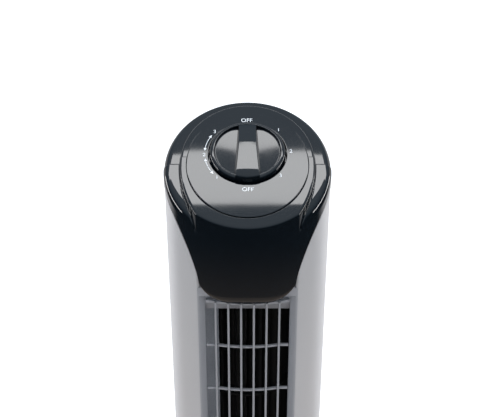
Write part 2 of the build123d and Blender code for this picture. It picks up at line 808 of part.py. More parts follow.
with BuildPart() as motor_shaft:
    add(tube(shaft_radius, 0, shaft_bottom, shaft_top - shaft_bottom, impeller_axis))
finish(motor_shaft, "motor_shaft")

damper_bottom = cap_top + motor_skin
with BuildPart() as motor_dampers:
    with BuildSketch(Plane.XY.offset(damper_bottom)):
        with Locations(impeller_axis):
            with PolarLocations(damper_circle, damper_count, start_angle=30):
                Circle(6.0)
                Circle(screw_radius + running, mode=Mode.SUBTRACT)
    extrude(amount=lower_plate_z - damper_bottom)
finish(motor_dampers, "motor_dampers")

with BuildPart() as motor_screws:
    with BuildSketch(Plane.XY.offset(cap_top)):
        with Locations(impeller_axis):
            with PolarLocations(damper_circle, damper_count, start_angle=30):
                Circle(screw_radius)
    extrude(amount=lower_plate_top - cap_top)
    with BuildSketch(Plane.XY.offset(lower_plate_top)):
        with Locations(impeller_axis):
            with PolarLocations(damper_circle, damper_count, start_angle=30):
                Circle(screw_head)
    extrude(amount=head_height)
finish(motor_screws, "motor_screws")

with BuildPart() as motor_capacitor:
    with BuildSketch(Plane.XY.offset(upper_plate_z + plate_thickness)):
        with Locations((28.0, 14.0)):
            RectangleRounded(18.0, 38.0, 2.0)
    extrude(amount=28.0)
finish(motor_capacitor, "motor_capacitor")

# ---------------------------------------------------------- swivel and its drive
column_floor_z = column_bottom + 2.0
floor_thickness = 3.0
deck_top = deck_z + deck_thickness
washer_top = deck_top + washer_gauge
hub_bottom = deck_z - 4.0
floor_top = column_floor_z + floor_thickness
gear_radius = gear_module * gear_teeth / 2
pinion_radius = gear_module * pinion_teeth / 2
gear_distance = gear_radius + pinion_radius
pinion_place = (0, gear_distance)
osc_place = (0, gear_distance - 9.0)
osc_radius = 24.0
pinion_bottom = deck_top + 0.5
hub_screw_circle = (hub_radius + hub_bore) / 2


def gear_outline(teeth, phase):
    """Stub-tooth gear sketch; phase turns a tooth by that many tooth pitches."""
    radius = gear_module * teeth / 2
    tip = radius + 0.8 * gear_module
    root = radius - 1.05 * gear_module
    half_pitch = pi / teeth / 2 - tooth_clearance / 2 / radius
    lean = tan(radians(pressure_angle))
    tip_half = half_pitch - (tip - radius) * lean / radius * 0.8
    root_half = half_pitch + (radius - root) * lean / radius * 0.8
    foot = root - 0.4
    flank = ((foot, root_half), (radius, half_pitch), (tip, tip_half))
    lower = [(r * cos(a), -r * sin(a)) for r, a in flank]
    upper = [(x, -y) for x, y in reversed(lower)]
    with BuildSketch(mode=Mode.PRIVATE) as tooth:
        with BuildLine():
            Polyline(*lower, *upper, close=True)
        make_face()
    with BuildSketch(mode=Mode.PRIVATE) as outline:
        Circle(root)
        with PolarLocations(0, teeth, start_angle=phase * 360 / teeth):
            add(tooth.sketch)
    return outline.sketch


with BuildPart() as column_floor:
    add(tube(plate_radius, hub_bore, column_floor_z, floor_thickness))
    add(tube(hub_radius, hub_bore, hub_bottom, column_floor_z - hub_bottom))
    thrust_bottom = washer_top + 0.1
    add(tube(washer_outer, washer_inner, thrust_bottom, column_floor_z - thrust_bottom))
    hole_height = 2 * floor_thickness
    add(tube(spindle_radius + 2.0, 0, column_floor_z, hole_height, pinion_place), mode=Mode.SUBTRACT)
    with BuildSketch(Plane.XY.offset(hub_bottom)):
        with PolarLocations(hub_screw_circle, 3):
            Circle(screw_radius)
    extrude(amount=10.0, mode=Mode.SUBTRACT)
finish(column_floor, "column_floor")

retainer_top = deck_z - gap
with BuildPart() as swivel_retainer:
    add(tube(retainer_radius, hub_bore, hub_bottom - 3.0, 3.0))
    add(tube(retainer_radius, hub_radius + gap, hub_bottom, retainer_top - hub_bottom))
    with BuildSketch(Plane.XY.offset(hub_bottom - 3.0)):
        with PolarLocations(hub_screw_circle, 3):
            Circle(screw_radius)
    extrude(amount=3.0, mode=Mode.SUBTRACT)
finish(swivel_retainer, "swivel_retainer")

with BuildPart() as retainer_screws:
    with BuildSketch(Plane.XY.offset(hub_bottom - 3.0 - head_height)):
        with PolarLocations(hub_screw_circle, 3):
            Circle(2.4)
    extrude(amount=head_height)
    with BuildSketch(Plane.XY.offset(hub_bottom - 3.0)):
        with PolarLocations(hub_screw_circle, 3):
            Circle(screw_radius - running)
    extrude(amount=12.0)
finish(retainer_screws, "retainer_screws")

with BuildPart() as osc_motor:
    add(tube(osc_radius, 0, floor_top, 18.0, osc_place))
    bore = spindle_radius + running
    add(tube(bore, 0, floor_top, 10.0, pinion_place), mode=Mode.SUBTRACT)
finish(osc_motor, "osc_motor")

with BuildPart() as osc_pinion:
    with BuildSketch(Plane.XY.offset(pinion_bottom)):
        with Locations(pinion_place):
            add(gear_outline(pinion_teeth, 0.5))
    extrude(amount=pinion_face)
    pinion_top = pinion_bottom + pinion_face
    add(tube(spindle_radius, 0, pinion_top, floor_top + 9.0 - pinion_top, pinion_place))
finish(osc_pinion, "osc_pinion")

with BuildPart() as swivel_gear:
    with BuildSketch(Plane.XY.offset(deck_top)):
        add(gear_outline(gear_teeth, 0.0))
        Circle(washer_outer + 1.5, mode=Mode.SUBTRACT)
    extrude(amount=gear_face)
finish(swivel_gear, "swivel_gear")

with BuildPart() as swivel_washer:
    add(tube(washer_outer, washer_inner, deck_top, washer_gauge))
finish(swivel_washer, "swivel_washer")

deck_radius = collar_radius - base_wall - gap
deck_screw_circle = (shelf_inner + deck_radius) / 2
deck_head_z = deck_top - head_height
with BuildPart() as swivel_deck:
    add(tube(deck_radius, hub_radius + gap, deck_z, deck_thickness))
    with BuildSketch(Plane.XY.offset(deck_z)):
        with PolarLocations(deck_screw_circle, 4, start_angle=45):
            Circle(screw_radius)
    extrude(amount=deck_thickness, mode=Mode.SUBTRACT)
    with BuildSketch(Plane.XY.offset(deck_head_z)):
        with PolarLocations(deck_screw_circle, 4, start_angle=45):
            Circle(screw_head)
    extrude(amount=head_height, mode=Mode.SUBTRACT)
finish(swivel_deck, "swivel_deck")

with BuildPart() as deck_screws:
    with BuildSketch(Plane.XY.offset(deck_z - 4.0)):
        with PolarLocations(deck_screw_circle, 4, start_angle=45):
            Circle(screw_radius - running)
    extrude(amount=deck_head_z - deck_z + 4.0)
    with BuildSketch(Plane.XY.offset(deck_head_z)):
        with PolarLocations(deck_screw_circle, 4, start_angle=45):
            Circle(screw_head - running)
    extrude(amount=head_height - 0.2)
finish(deck_screws, "deck_screws")

# ------------------------------------------------------------------ pedestal base
base_plate_top = foot_height + plate_gauge
base_screw_circle = base_radius - base_wall - 12.0
base_angles = (45.0, 135.0, 225.0, 315.0)
shelf_thickness = 5.0
bush_outer = 5.4
bush_flange = 7.0
cord_plane = Plane.XZ.offset(-base_radius - gap)


def dome_outline(inset):
    """Half section of the base: a low rim, a flared dome and an upright collar."""
    with BuildSketch(Plane.XZ, mode=Mode.PRIVATE) as section:
        with BuildLine():
            rim = (base_radius - inset, rim_height - inset)
            collar = (collar_radius - inset, deck_z - 6.0 - inset)
            top = collar_top + 2 * inset
            floor = foot_height - 2 * inset
            Polyline(rim, (rim[0], floor), (0, floor), (0, top), (collar[0], top), collar)
            Spline(collar, rim, tangents=((0, -1), (0.25, -1)))
        make_face()
    return section.sketch


with BuildPart() as base_posts:
    with BuildSketch(Plane.XY.offset(base_plate_top)):
        with PolarLocations(base_screw_circle, 4, start_angle=45):
            Circle(boss_radius)
    extrude(amount=deck_z)
    with BuildSketch(Plane.XZ):
        add(dome_outline(base_wall / 2))
    revolve(axis=Axis.Z, mode=Mode.INTERSECT)

with BuildPart() as base_shell:
    with BuildSketch(Plane.XZ):
        add(dome_outline(0.0))
    revolve(axis=Axis.Z)
    with BuildSketch(Plane.XZ):
        add(dome_outline(base_wall))
    revolve(axis=Axis.Z, mode=Mode.SUBTRACT)
    add(tube(collar_radius - base_wall / 2, shelf_inner, deck_z - shelf_thickness, shelf_thickness))
    add(base_posts.part)
    with BuildSketch(Plane.XY.offset(base_plate_top)):
        with PolarLocations(base_screw_circle, 4, start_angle=45):
            Circle(screw_radius)
    extrude(amount=9.0, mode=Mode.SUBTRACT)
    with BuildSketch(Plane.XY.offset(deck_z)):
        with PolarLocations(deck_screw_circle, 4, start_angle=45):
            Circle(screw_radius)
    extrude(amount=-4.2, mode=Mode.SUBTRACT)
    with BuildSketch(cord_plane):
        with Locations((0, cord_z)):
            Circle(bush_outer + gap)
    extrude(amount=2 * bush_flange, mode=Mode.SUBTRACT)

with BuildPart() as base_front:
    add(base_shell.part)
    split(bisect_by=front_cut, keep=Keep.TOP)
finish(base_front, "base_front")

with BuildPart() as base_rear:
    add(base_shell.part)
    split(bisect_by=rear_cut, keep=Keep.BOTTOM)
finish(base_rear, "base_rear")

with BuildPart() as base_plate:
    add(tube(base_radius - base_wall - gap, 0, foot_height, plate_gauge))
    with BuildSketch(Plane.XY.offset(foot_height)):
        with Locations((0, base_radius)):
            Rectangle(2 * bush_flange + 2, 36.0)
        with PolarLocations(base_screw_circle, 4, start_angle=45):
            Circle(screw_radius + gap)
    extrude(amount=plate_gauge, mode=Mode.SUBTRACT)
finish(base_plate, "base_plate")

with BuildPart() as base_screws:
    with BuildSketch(Plane.XY.offset(foot_height - head_height)):
        with PolarLocations(base_screw_circle, 4, start_angle=45):
            Circle(screw_head)
    extrude(amount=head_height)
    with BuildSketch(Plane.XY.offset(foot_height)):
        with PolarLocations(base_screw_circle, 4, start_angle=45):
            Circle(screw_radius - running)
    extrude(amount=plate_gauge + 8.0)
finish(base_screws, "base_screws")

with BuildPart() as base_weight:
    add(tube(weight_outer, weight_inner, base_plate_top, weight_gauge))
finish(base_weight, "base_weight")

with BuildPart() as rubber_feet:
    with BuildSketch(Plane.XY):
        with PolarLocations(base_radius - 17.0, 6):
            Circle(8.0)
    extrude(amount=foot_height)
finish(rubber_feet, "rubber_feet")

with BuildPart() as cord_bush:
    with BuildSketch(Plane.XZ.offset(-base_radius)):
        with Locations((0, cord_z)):
            Circle(bush_outer)
            Circle(cord_bore, mode=Mode.SUBTRACT)
    extrude(amount=bush_length)
    with BuildSketch(Plane.XZ.offset(-base_radius + base_wall + 0.8)):
        with Locations((0, cord_z)):
            Rectangle(2 * bush_flange, 2 * bush_outer)
            Circle(cord_bore, mode=Mode.SUBTRACT)
    extrude(amount=2.0)
finish(cord_bush, "cord_bush")

# ------------------------------------------------------------------------ wiring
terminal_end = knob_plane.from_local_coords((0, 0, well_floor - switch_depth - 8.0))
harness_turn = 12.0
hub_wire_top = 82.0
hub_wire_bottom = hub_bottom - 8.0

with BuildPart() as wiring_harness:
    with BuildLine():
        place_x, place_y = harness_place
        route = (
            (0, terminal_end.Y, terminal_end.Z + 4.0),
            (0, terminal_end.Y, terminal_end.Z - 14.0),
            (place_x, place_y, upper_plate_z + 44.0),
            (place_x, place_y, hub_wire_top + 10.0),
            (0, 0, hub_wire_top - 4.0),
            (0, 0, hub_wire_bottom),
        )
        FilletPolyline(*route, radius=harness_turn)
    with BuildSketch(Plane(origin=route[0], z_dir=(0, 0, -1))):
        Circle(cord_radius)
    sweep()
finish(wiring_harness, "wiring_harness")

wire_level = base_plate_top + weight_gauge + cord_radius + 1.0
wire_end = base_radius - bush_length - gap
with BuildPart() as base_wiring:
    with BuildLine():
        route = (
            (0, 0, hub_wire_bottom - 1.0),
            (0, 0, wire_level),
            (0, wire_end - 11.5, wire_level),
            (0, wire_end - 5.5, cord_z),
            (0, wire_end, cord_z),
        )
        FilletPolyline(*route, radius=3.0)
    with BuildSketch(Plane(origin=route[0], z_dir=(0, 0, -1))):
        Circle(cord_radius)
    sweep()
finish(base_wiring, "base_wiring")
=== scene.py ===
"""Tower fan with a gloss black sloped top, silver housings and a slatted air outlet.

Lengths are in metres, in the CAD model's frame: floor at z = 0, air outlet towards -Y.
"""

import bmesh
import bpy
import numpy as np
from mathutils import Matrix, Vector


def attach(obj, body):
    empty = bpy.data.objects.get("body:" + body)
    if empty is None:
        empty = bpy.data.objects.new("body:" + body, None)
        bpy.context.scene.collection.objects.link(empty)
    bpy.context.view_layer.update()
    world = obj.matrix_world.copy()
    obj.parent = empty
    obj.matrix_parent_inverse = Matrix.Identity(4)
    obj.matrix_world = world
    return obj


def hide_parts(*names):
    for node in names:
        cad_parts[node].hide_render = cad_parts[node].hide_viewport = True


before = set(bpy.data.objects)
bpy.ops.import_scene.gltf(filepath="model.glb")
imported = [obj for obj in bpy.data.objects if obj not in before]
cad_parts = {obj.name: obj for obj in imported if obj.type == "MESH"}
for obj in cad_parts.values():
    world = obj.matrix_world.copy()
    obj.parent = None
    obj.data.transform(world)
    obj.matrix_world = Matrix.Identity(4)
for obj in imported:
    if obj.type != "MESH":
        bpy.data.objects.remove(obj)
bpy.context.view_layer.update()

# --- Camera -----------------------------------------------------------------------------
# It looks down on the sloping top from the front, near enough that the column narrows
# towards the floor. Only the upper half of the column is in view.
camera_data = bpy.data.cameras.new("camera")
camera_data.sensor_width = 36.0
camera_data.lens = 88.0
camera_tilt = np.radians(35.0)
camera = bpy.data.objects.new("camera", camera_data)
camera.location = (0.0, -0.850, 1.265)
camera.rotation_euler = (np.pi / 2 - camera_tilt, 0.0, 0.0)
bpy.context.collection.objects.link(camera)
bpy.context.scene.camera = camera

# --- Studio -----------------------------------------------------------------------------
# A white floor and soft lamps. The top is a mirror-like black, so its looks come from the
# lamp above it, whose edges it reflects, and from the room: dim blue above, dark in front,
# warm near the floor and pale behind. The strips at the sides draw the streaks on its edges.
def soft_lamp(name, place, aim, size, power):
    """Rectangular area lamp at a place, facing the aim point."""
    data = bpy.data.lights.new(name, "AREA")
    data.shape = "RECTANGLE"
    data.size, data.size_y = size
    data.energy = power
    lamp = bpy.data.objects.new(name, data)
    lamp.location = place
    line = Vector(aim) - Vector(place)
    lamp.rotation_euler = line.to_track_quat("-Z", "Y").to_euler()
    bpy.context.collection.objects.link(lamp)
    return lamp


floor_half = 14.0
floor_mesh = bpy.data.meshes.new("floor")
corners = [(-floor_half, -floor_half, 0), (floor_half, -floor_half, 0)]
corners += [(floor_half, floor_half, 0), (-floor_half, floor_half, 0)]
floor_mesh.from_pydata(corners, [], [(0, 1, 2, 3)])
floor = bpy.data.objects.new("floor", floor_mesh)
bpy.context.collection.objects.link(floor)
floor_paint = bpy.data.materials.new("white_floor")
floor_paint.use_nodes = True
floor_shader = floor_paint.node_tree.nodes["Principled BSDF"]
floor_shader.inputs["Base Color"].default_value = (0.92, 0.92, 0.92, 1)
floor_shader.inputs["Roughness"].default_value = 0.9
floor_shader.inputs["Emission Color"].default_value = (1, 1, 1, 1)
floor_shader.inputs["Emission Strength"].default_value = 0.6
floor.visible_glossy = False
floor.data.materials.append(floor_paint)

room = bpy.data.worlds.new("room")
room.use_nodes = True
room_nodes, room_links = room.node_tree.nodes, room.node_tree.links
room_place = room_nodes.new("ShaderNodeTexCoord")
room_split = room_nodes.new("ShaderNodeSeparateXYZ")
room_links.new(room_place.outputs["Generated"], room_split.inputs["Vector"])


def room_ramp(axis, first, last, before, after):
    """Tone of the room along one axis of the direction looked in: before up to first, after
    from last on, and a smooth step between. Either is a colour or another ramp."""
    spread = room_nodes.new("ShaderNodeMapRange")
    spread.interpolation_type = "SMOOTHSTEP"
    spread.inputs["From Min"].default_value = first
    spread.inputs["From Max"].default_value = last
    mix = room_nodes.new("ShaderNodeMix")
    mix.data_type = "RGBA"
    for socket, tone in (("A", before), ("B", after)):
        if isinstance(tone, tuple):
            mix.inputs[socket].default_value = (*tone, 1)
        else:
            room_links.new(tone.outputs["Result"], mix.inputs[socket])
    room_links.new(room_split.outputs[axis], spread.inputs["Value"])
    room_links.new(spread.outputs["Result"], mix.inputs["Factor"])
    return mix


dark_front, pale_back = (0.03, 0.034, 0.040), (1.15, 1.15, 1.18)
upper_dark, upper_pale = (0.30, 0.40, 0.50), (0.70, 0.82, 0.95)
warm_low = (0.46, 0.38, 0.32)
front_low = room_ramp("Z", -0.68, -0.59, warm_low, dark_front)
low_room = room_ramp("Y", 0.30, 0.62, front_low, pale_back)
high_room = room_ramp("Z", 0.45, 0.95, upper_dark, upper_pale)
whole_room = room_ramp("Z", 0.22, 0.55, low_room, high_room)
room_links.new(whole_room.outputs["Result"], room_nodes["Background"].inputs["Color"])
bpy.context.scene.world = room
bpy.context.scene.view_settings.view_transform = "Standard"

soft_lamp("top_lamp", (0.0, 0.664, 2.55), (0.0, 0.664, 0.0), (2.4, 0.140), 8.2)
fill_lamp = soft_lamp("fill_lamp", (0.0, -0.5, 2.7), (0.0, 0.0, 0.6), (1.6, 1.6), 30.0)
fill_lamp.visible_glossy = False
for side in (-1, 1):
    strip_place = (side * 2.2, 0.30, 1.0)
    soft_lamp("strip_lamp", strip_place, (0.0, 0.0, 0.60), (1.7, 0.17), 16.0)

# --- Top covers -------------------------------------------------------------------------
# Two glossy black mouldings that meet at the column's middle: a rounded shoulder around a
# raised crown. The front one runs down the face as a shield and turns in under its chin.
slope = np.tan(np.radians(18.0))
normal_share = np.cos(np.radians(18.0))
crown_shift = 0.003
crown_radius = 0.0565
crown_reach = 0.080
crown_rear = 0.0590
crown_height = 0.740 - (crown_radius - crown_shift) * slope
crown_step = 0.0070
cover_radius = 0.0706
cover_wall = 0.0024
rear_inset = 0.0005
seam_round = 0.00055
opening_half_x = 0.0509
opening_half_y = 0.0535
opening_shift = 0.007
side_edge_z = 0.697
chin_corner_x = 0.0405
chin_corner_z = 0.631
chin_z = 0.6150
chin_rounding = 0.0140
outlet_plane_y = -0.0556


def ray_to_oval(turn, centre_y, half_x, half_y, origin_y=0.0):
    """Distance along each ray to an oval on the Y axis: the positive root of the quadratic
    that the ray's x and y give in x^2/a^2 + (y - c)^2/b^2 = 1. Turn 0 points to -Y."""
    dx, dy = np.sin(turn), -np.cos(turn)
    offset = origin_y - centre_y
    a = dx**2 / half_x**2 + dy**2 / half_y**2
    b = 2 * offset * dy / half_y**2
    c = offset**2 / half_y**2 - 1
    return (-b + np.sqrt(b**2 - 4 * a * c)) / (2 * a)


def grid_mesh(name, x, y, z, closed_rows=False, closed_columns=False):
    """Smooth quad mesh over arrays of points, one vertex for each place on the grid."""
    rows, columns = x.shape
    points = np.stack((x, y, z), axis=-1).reshape(-1, 3)
    i = np.arange(rows if closed_rows else rows - 1)
    j = np.arange(columns if closed_columns else columns - 1)
    i, j = np.meshgrid(i, j, indexing="ij")
    i2, j2 = (i + 1) % rows, (j + 1) % columns
    loops = (i * columns + j, i2 * columns + j, i2 * columns + j2, i * columns + j2)
    quads = np.stack(loops, axis=-1).reshape(-1, 4)
    mesh = bpy.data.meshes.new(name)
    mesh.from_pydata(points.tolist(), [], quads.tolist())
    mesh.shade_smooth()
    item = bpy.data.objects.new(name, mesh)
    bpy.context.collection.objects.link(item)
    return item


def close_shell(item, angle=32.0):
    """Joins doubled points, closes open borders, turns the faces outwards, and marks the
    edges whose faces meet at more than the angle as sharp."""
    work = bmesh.new()
    work.from_mesh(item.data)
    bmesh.ops.remove_doubles(work, verts=work.verts, dist=2e-6)
    bmesh.ops.dissolve_degenerate(work, edges=work.edges, dist=1e-7)
    bmesh.ops.holes_fill(work, edges=[edge for edge in work.edges if edge.is_boundary])
    bmesh.ops.recalc_face_normals(work, faces=work.faces)
    for edge in work.edges:
        if len(edge.link_faces) == 2:
            edge.smooth = edge.calc_face_angle(0.0) < np.radians(angle)
    work.to_mesh(item.data)
    work.free()
    return item


def lower_edge(turn, outer):
    """Height of the cover's lower edge: a fifth power of x over the chin, then a cubic
    curve that climbs from the chin's corner to the side, and a level edge round the rear."""
    x = np.abs(outer * np.sin(turn))
    t = np.linspace(0, 1, 80)
    ends_x = np.array((chin_corner_x, 0.0435, 0.0550, cover_radius))
    ends_z = np.array((chin_corner_z, 0.6520, 0.6830, side_edge_z))
    weights = np.stack(((1 - t) ** 3, 3 * t * (1 - t) ** 2, 3 * t**2 * (1 - t), t**3))
    climb = np.interp(x, ends_x @ weights, ends_z @ weights)
    chin = chin_z + (chin_corner_z - chin_z) * (x / chin_corner_x) ** 5
    edge = np.where(x < chin_corner_x, chin, climb)
    return np.where(np.cos(turn) < -1e-6, side_edge_z, edge)


def cover_shell(name, turn, inset):
    """Closed shell of a cover. Each ray from the column's axis carries one section: up the
    panel's opening, over the flat crown, round its edge, down into the groove, across the
    shoulder, round its edge, down the face, round the chin and back up on the inside. Every
    rounding is a quarter circle, and the shoulder's grows towards the front."""
    flat = np.zeros_like(turn)
    front = np.cos(turn) > -1e-6
    near_seam = 1 - np.abs(np.cos(turn)) * cover_radius / seam_round
    inset = inset + seam_round * (1 - np.sqrt(1 - np.clip(near_seam, 0, 1) ** 2))
    outer = cover_radius - inset
    opening = ray_to_oval(turn, -opening_shift, opening_half_x, opening_half_y)
    reach = np.where(front, crown_reach, crown_rear) - inset
    crown = ray_to_oval(turn, -crown_shift, crown_radius - inset, reach)
    crown = np.minimum(crown, outer - 0.00005)
    lean = np.degrees(np.abs((turn + np.pi) % (2 * np.pi) - np.pi))
    shoulder_turns, shoulder_rounds = (0, 24, 33, 48, 70), (0.0160, 0.0135, 0.0100, 0.0078, 0.0062)
    shoulder_round = np.interp(lean, shoulder_turns, shoulder_rounds)
    crown_round = np.interp(lean, (0, 30, 60, 90, 180), (0.0024, 0.0022, 0.0020, 0.0020, 0.0022))
    section = []
    section += [(opening, flat - depth) for depth in (0.0048, 0.0030, 0.0012)]
    lip = np.interp(lean, (0, 60, 100), (0.00045, 0.0003, 0.00015))
    for bend in np.linspace(0, np.pi / 2, 4):
        section.append((opening + lip * (1 - np.cos(bend)), flat - lip * (1 - np.sin(bend))))
    inner_edge, outer_edge = opening + lip, crown - crown_round
    for share in (0.03, 0.3, 0.7, 0.97):
        section.append((inner_edge + (outer_edge - inner_edge) * share, flat))
    for bend in np.linspace(0, np.pi / 2, 9):
        drop = crown_round * (1 - np.cos(bend))
        section.append((crown - crown_round * (1 - np.sin(bend)), -drop))
    hollow = np.minimum(0.0010, outer - crown)
    foot = crown + hollow
    start = np.maximum(outer - shoulder_round, foot)
    run = np.clip((start - outer + shoulder_round) / shoulder_round, 0, 1)
    groove = -crown_step - shoulder_round * (1 - np.sqrt(1 - run**2))
    for share in (0.06, 0.5, 0.94):
        section.append((crown, -crown_round + (groove + hollow + crown_round) * share))
    for bend in np.linspace(0, np.pi / 2, 5):
        section.append((crown + hollow * (1 - np.cos(bend)), groove + hollow * (1 - np.sin(bend))))
    for share in (0.05, 0.5, 0.95):
        section.append((foot + (start - foot) * share, groove))
    for share in np.linspace(0, 1, 15):
        bend = np.arcsin(run) + (np.pi / 2 - np.arcsin(run)) * share
        drop = crown_step + shoulder_round * (1 - np.cos(bend))
        section.append((outer - shoulder_round * (1 - np.sin(bend)), -drop))
    distance = np.array([point[0] for point in section])
    height = np.array([point[1] for point in section]) / normal_share
    height += crown_height - inset - np.cos(turn) * distance * slope
    bottom = lower_edge(turn, outer)
    in_chin = (outer * np.abs(np.sin(turn)) < chin_corner_x) & front
    room_in = outer + outlet_plane_y / np.maximum(np.cos(turn), 0.2)
    depth = np.where(in_chin, np.clip(room_in, cover_wall, 0.03), cover_wall)
    side_roll = np.interp(lean, (0, 78, 90, 92), (0.0032, 0.0032, 0.0012, 0.0009))
    rounding = np.where(in_chin, np.minimum(depth * 0.9, chin_rounding), side_roll)
    depth = np.maximum(depth, rounding + 0.0004)
    wall = []
    for share in (0.01, 0.06, 0.2, 0.35, 0.5, 0.65, 0.8, 0.94, 0.99, 1.0):
        wall.append((outer, height[-1] + (bottom + rounding - height[-1]) * share))
    for bend in np.linspace(0, np.pi / 2, 15)[1:]:
        wall.append((outer - rounding * (1 - np.cos(bend)), bottom + rounding * (1 - np.sin(bend))))
    wall.append((outer - depth, bottom))
    wall.append((outer - depth, bottom + cover_wall))
    wall.append((outer - cover_wall - 0.3 * rounding, bottom + cover_wall))
    wall.append((outer - cover_wall, bottom + cover_wall + rounding))
    wall.append((outer - cover_wall, height[-1] - cover_wall))
    wall.append((outer - shoulder_round - cover_wall, height[-1] - cover_wall + 0.003))
    distance = np.concatenate((distance, np.array([point[0] for point in wall])))
    height = np.concatenate((height, np.array([point[1] for point in wall])))
    x, y = np.sin(turn) * distance, -np.cos(turn) * distance
    return close_shell(grid_mesh(name, x, y, height, closed_rows=True), angle=50.0)


def gloss_plastic(name, colour, roughness, smudge=0.02):
    """Polished injection-moulded plastic: a mirror-like skin whose gloss wanders a little
    with faint wipe marks, over a barely uneven surface."""
    made = bpy.data.materials.new(name)
    made.use_nodes = True
    nodes, links = made.node_tree.nodes, made.node_tree.links
    shader = nodes["Principled BSDF"]
    shader.inputs["Base Color"].default_value = (*colour, 1)
    shader.inputs["IOR"].default_value = 1.52
    place = nodes.new("ShaderNodeTexCoord")
    wipe = nodes.new("ShaderNodeTexNoise")
    wipe.inputs["Scale"].default_value = 38.0
    wipe.inputs["Detail"].default_value = 5.0
    wipe.inputs["Distortion"].default_value = 1.2
    gloss = nodes.new("ShaderNodeMapRange")
    gloss.inputs["From Min"].default_value = 0.35
    gloss.inputs["From Max"].default_value = 0.75
    gloss.inputs["To Min"].default_value = roughness
    gloss.inputs["To Max"].default_value = roughness + smudge
    links.new(place.outputs["Object"], wipe.inputs["Vector"])
    links.new(wipe.outputs["Fac"], gloss.inputs["Value"])
    links.new(gloss.outputs["Result"], shader.inputs["Roughness"])
    sink = nodes.new("ShaderNodeTexNoise")
    sink.inputs["Scale"].default_value = 26.0
    sink.inputs["Detail"].default_value = 1.0
    dent = nodes.new("ShaderNodeBump")
    dent.inputs["Strength"].default_value = 0.04
    dent.inputs["Distance"].default_value = 0.0004
    links.new(place.outputs["Object"], sink.inputs["Vector"])
    links.new(sink.outputs["Fac"], dent.inputs["Height"])
    links.new(dent.outputs["Normal"], shader.inputs["Normal"])
    return made


cover_black = gloss_plastic("cover_black", (0.0024, 0.0040, 0.0058), 0.022, 0.012)
quarter = np.pi / 2
seam_steps = seam_round / cover_radius * np.array((0.0, 0.08, 0.2, 0.4, 0.65, 1.0, 1.6))
side_turns = (np.arange(0.5, 36, 0.5), np.arange(36, 46, 0.1), np.arange(46, 89.1, 0.25))
side_turns = np.radians(np.concatenate(side_turns))
front_turns = np.concatenate((
    seam_steps - quarter, -side_turns[::-1], (0.0,), side_turns, quarter - seam_steps[::-1]))
front_cover = cover_shell("front_cover_skin", front_turns, 0.0)
front_cover.data.materials.append(cover_black)
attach(front_cover, "column")
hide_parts("front_top_cover")
rear_steps = seam_steps + 0.0003 / cover_radius
even_turns = np.linspace(quarter, 3 * quarter, 301)[3:-3]
rear_turns = np.concatenate((quarter + rear_steps, even_turns, 3 * quarter - rear_steps[::-1]))
rear_cover = cover_shell("rear_cover_skin", rear_turns, rear_inset)
rear_cover.data.materials.append(cover_black)
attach(rear_cover, "column")
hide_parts("rear_top_cover")

# --- Control panel ----------------------------------------------------------------------
# A gloss black oval plate that drops into the crown, with a round well for the knob. Its
# legends are printed in white around the well.
panel_proud = 0.0006
panel_half_x = 0.0506
panel_half_y = 0.0532
knob_offset = 0.0033
well_radius = 0.0329
well_depth = 0.0080
well_edge = 0.00025
panel_wall = 0.0024
panel_under = -0.0046
well_under = -well_depth - panel_wall
spindle_hole = 0.00485


def on_slope(x, along, lift):
    """Turns places on the sloping panel into x, y, z: along runs up the slope from the
    column's axis and lift stands square to it."""
    rise = slope * normal_share
    y = along * normal_share - lift * rise
    return x, y, crown_height + along * rise + lift * normal_share


panel_turn = np.linspace(0, 2 * np.pi, 361)[:-1]
knob_plan_y = knob_offset * normal_share
rim_plan = ray_to_oval(panel_turn, -opening_shift, panel_half_x, panel_half_y, knob_plan_y)
rim_x = np.sin(panel_turn) * rim_plan
rim_along = (knob_plan_y - np.cos(panel_turn) * rim_plan) / normal_share
well_x = np.sin(panel_turn)
well_along = -np.cos(panel_turn)
panel_rows = []
rim_steps = ((panel_under, 0.0), (-0.0020, 0.0), (0.00035, 0.0), (0.00048, 0.0006),
             (0.00056, 0.0020), (panel_proud, 0.0050))
for lift, shrink in rim_steps:
    rim_middle = -opening_shift / normal_share
    panel_rows.append((rim_x * (1 - shrink), rim_along - (rim_along - rim_middle) * shrink, lift))
edge_x = well_x * (well_radius + 0.0003)
edge_along = knob_offset + well_along * (well_radius + 0.0003)
for share in (0.03, 0.06, 0.35, 0.65, 0.94, 0.98):
    flat_x = rim_x + (edge_x - rim_x) * share
    flat_along = rim_along + (edge_along - rim_along) * share
    panel_rows.append((flat_x, flat_along, panel_proud))
for bend in np.linspace(0, np.pi / 2, 6):
    radius = well_radius + well_edge * (1 - np.sin(bend))
    lift = panel_proud - well_edge * (1 - np.cos(bend))
    panel_rows.append((well_x * radius, knob_offset + well_along * radius, lift))
well_steps = ((well_radius, -0.004), (well_radius, -0.0075), (well_radius - 0.0005, -well_depth),
              (0.020, -well_depth), (spindle_hole, -well_depth), (spindle_hole, well_under),
              (well_radius + panel_wall, well_under), (well_radius + panel_wall, panel_under))
for radius, lift in well_steps:
    panel_rows.append((well_x * radius, knob_offset + well_along * radius, lift))
panel_x = np.array([row[0] for row in panel_rows])
panel_along = np.array([row[1] for row in panel_rows])
panel_lift = np.array([row[2] + np.zeros_like(panel_turn) for row in panel_rows])
panel_points = on_slope(panel_x, panel_along, panel_lift)
panel = grid_mesh("panel_plate", *panel_points, closed_rows=True, closed_columns=True)
close_shell(panel)
panel_black = gloss_plastic("panel_black", (0.0024, 0.0040, 0.0058), 0.035, 0.012)
panel.data.materials.append(panel_black)
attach(panel, "column")
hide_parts("control_panel")

